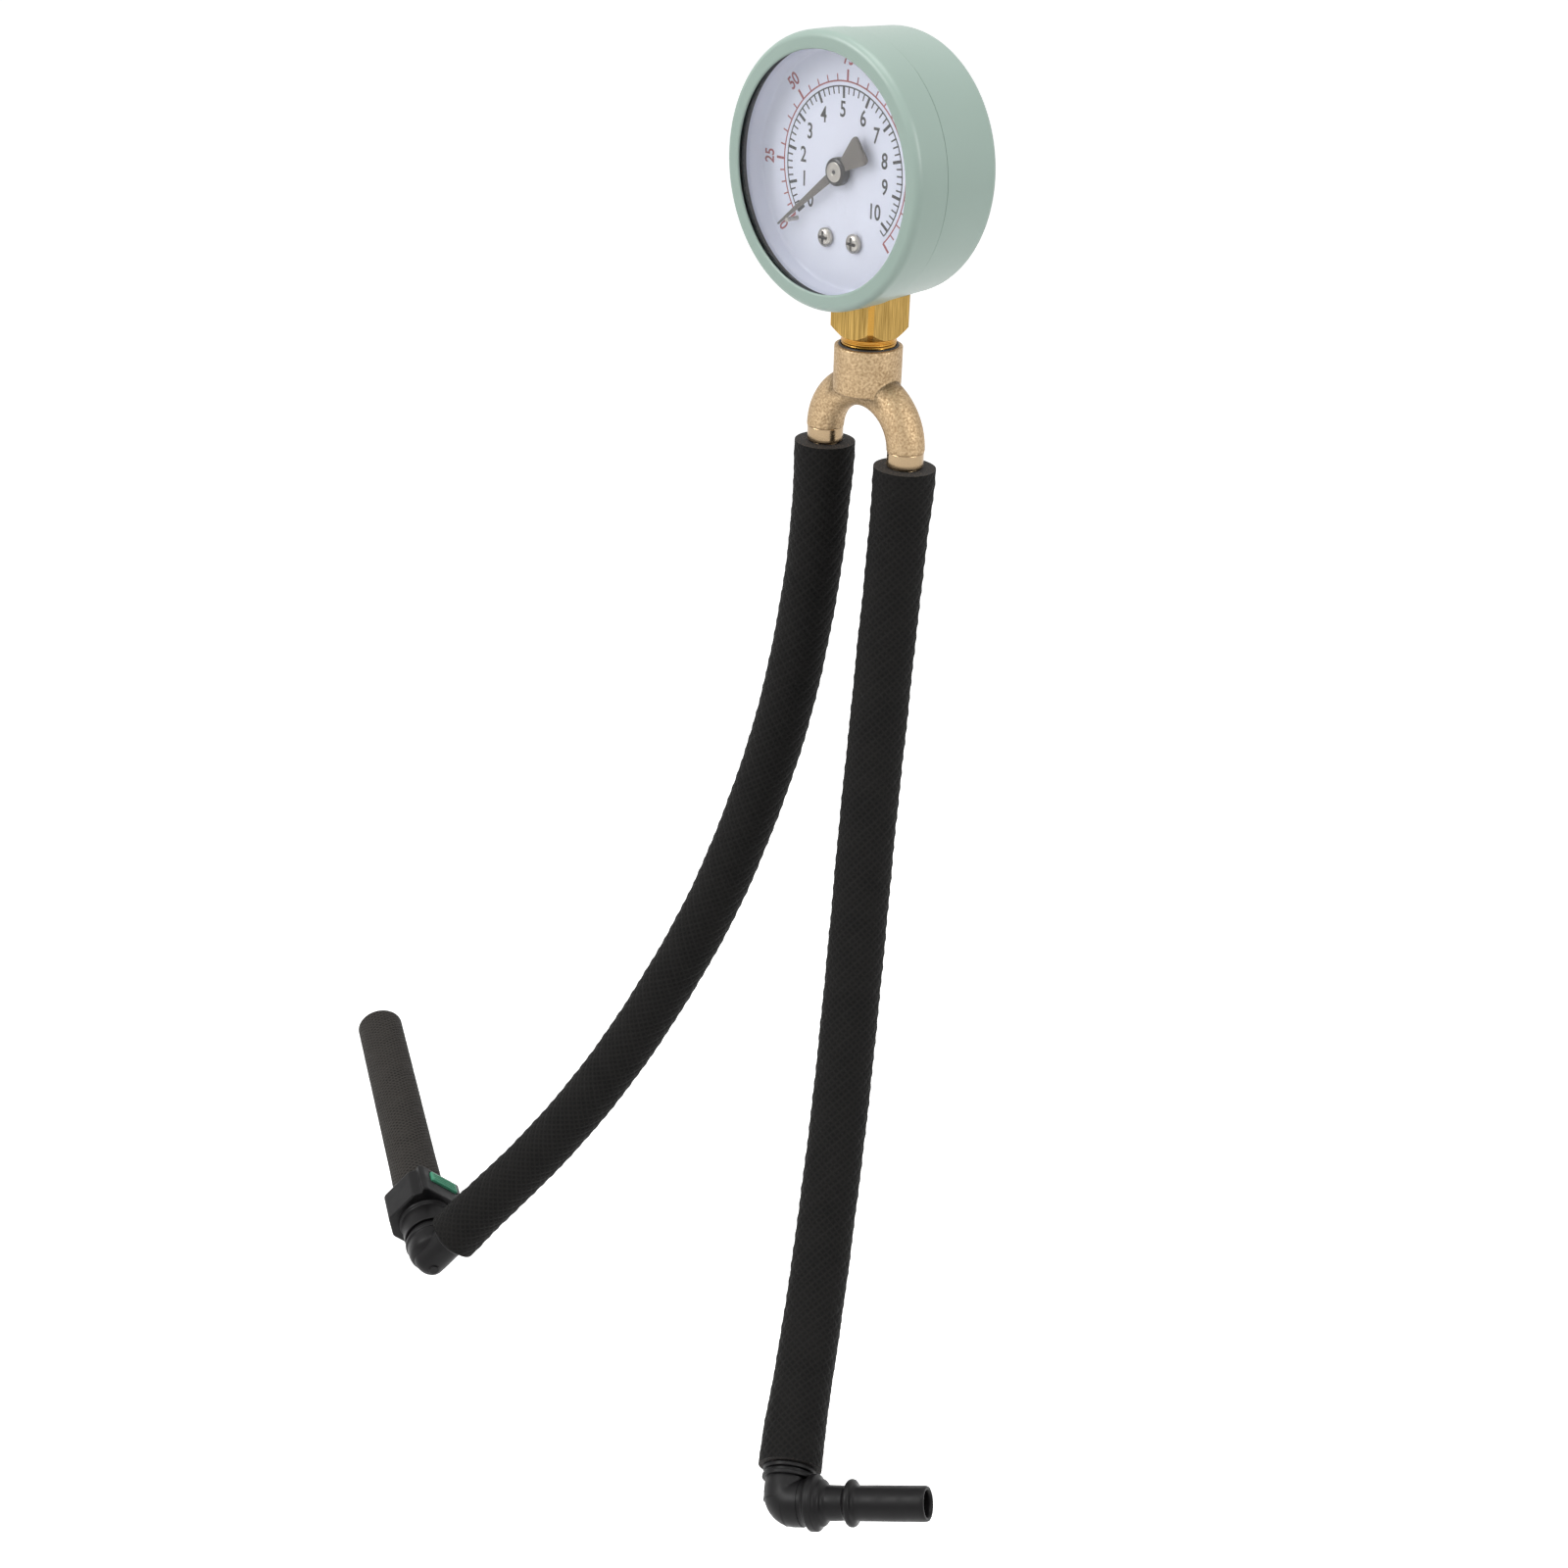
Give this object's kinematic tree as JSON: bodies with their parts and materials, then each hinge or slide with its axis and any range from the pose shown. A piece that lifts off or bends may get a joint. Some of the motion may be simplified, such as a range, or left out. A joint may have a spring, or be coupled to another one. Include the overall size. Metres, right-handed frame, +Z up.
{
  "type": "fuel pressure gauge",
  "caption": "Round dial pressure gauge on a square brass stem with a brass wye and rubber hoses that end in a male elbow and a female push-button quick connector",
  "frame": {"origin": "centre of the case's flat back face", "axes": "+Y points out of the case's back, so the dial faces -Y; +X is to the right of someone reading the dial; +Z is up the dial, and the stem and hoses hang towards -Z"},
  "size_m": [0.2789, 0.1164, 0.3412],
  "materials": {
    "green_enamel": "soft glossy enamel on sheet steel",
    "dial_white": "smooth bluish white paint on sheet",
    "clear_glass": "flat clear window",
    "black_rubber": "matt rubber",
    "black_plastic": "satin moulded plastic",
    "green_plastic": "moulded green plastic",
    "white_plastic": "pale moulded plastic",
    "pointer_grey": "dull dark grey paint",
    "bright_steel": "bright turned or stamped steel",
    "machined_brass": "golden brass with fine cutter lines",
    "cast_brass": "blasted cast brass with bright turned stubs",
    "tube_bronze": "drawn spring bronze"
  },
  "bodies": {
    "gauge": {"case_shell": "green_enamel", "bezel_ring": "green_enamel", "window_lens": "clear_glass", "lens_gasket": "black_rubber", "dial_plate": "dial_white", "dial_screw_left": "bright_steel", "dial_screw_right": "bright_steel", "pointer_stop_pin": "bright_steel", "hairspring": "tube_bronze", "hairspring_stud": "bright_steel", "movement_front_plate": "machined_brass", "movement_back_plate": "machined_brass", "pillar_upper": "machined_brass", "pillar_lower": "machined_brass", "pillar_screw_upper": "bright_steel", "pillar_screw_lower": "bright_steel", "bourdon_tube": "tube_bronze", "stem_block": "machined_brass", "case_screw_left": "bright_steel", "case_screw_right": "bright_steel", "thread_sealant": "black_rubber", "wye_fitting": "cast_brass", "hose_left": "black_rubber", "hose_right": "black_rubber", "male_elbow": "black_plastic", "connector_elbow": "black_plastic", "connector_housing": "black_plastic", "o_ring_inner": "black_rubber", "o_ring_spacer": "white_plastic", "o_ring_outer": "black_rubber", "retaining_bush": "white_plastic"},
    "pointer": {"pointer_blade": "pointer_grey", "pointer_hub": "bright_steel", "pinion_arbor": "bright_steel"},
    "sector": {"sector_gear": "machined_brass", "sector_arbor": "bright_steel"},
    "tube_tip": {"tube_end_piece": "machined_brass", "tip_link": "bright_steel"},
    "push_button": {"release_button": "green_plastic"},
    "tail_plug": {"plug_nipple": "black_plastic", "tail_hose": "black_rubber"}
  },
  "joints": [
    {"name": "sector_swing", "type": "hinge", "parent": "gauge", "child": "sector", "pos_m": [0.00675, -0.0101, -0.01169], "axis": [0, -1, 0], "range_deg": [0, 33]},
    {"name": "pointer_turn", "type": "hinge", "parent": "gauge", "child": "pointer", "pos_m": [0, -0.0101, 0], "axis": [0, 1, 0], "range_deg": [0, 264.01]},
    {"name": "tip_slide", "type": "slide", "parent": "gauge", "child": "tube_tip", "axis": [0.515, 0, 0.8572], "range_m": [0, 0.0029], "deforming": ["bourdon_tube"]},
    {"name": "button_press", "type": "slide", "parent": "gauge", "child": "push_button", "axis": [-0.3417, -0.6231, -0.7035], "range_m": [0, 0.0015], "stiffness_N_per_m": 900, "springref_m": -0.002},
    {"name": "plug_pull", "type": "slide", "parent": "gauge", "child": "tail_plug", "axis": [-0.9002, 0.4321, 0.0545], "range_m": [0, 0.022]}
  ],
  "couplings": [
    {"joint": "pointer_turn", "follows": "sector_swing", "ratio": 8},
    {"joint": "tip_slide", "follows": "sector_swing", "m_per_rad": 0.00493}
  ]
}
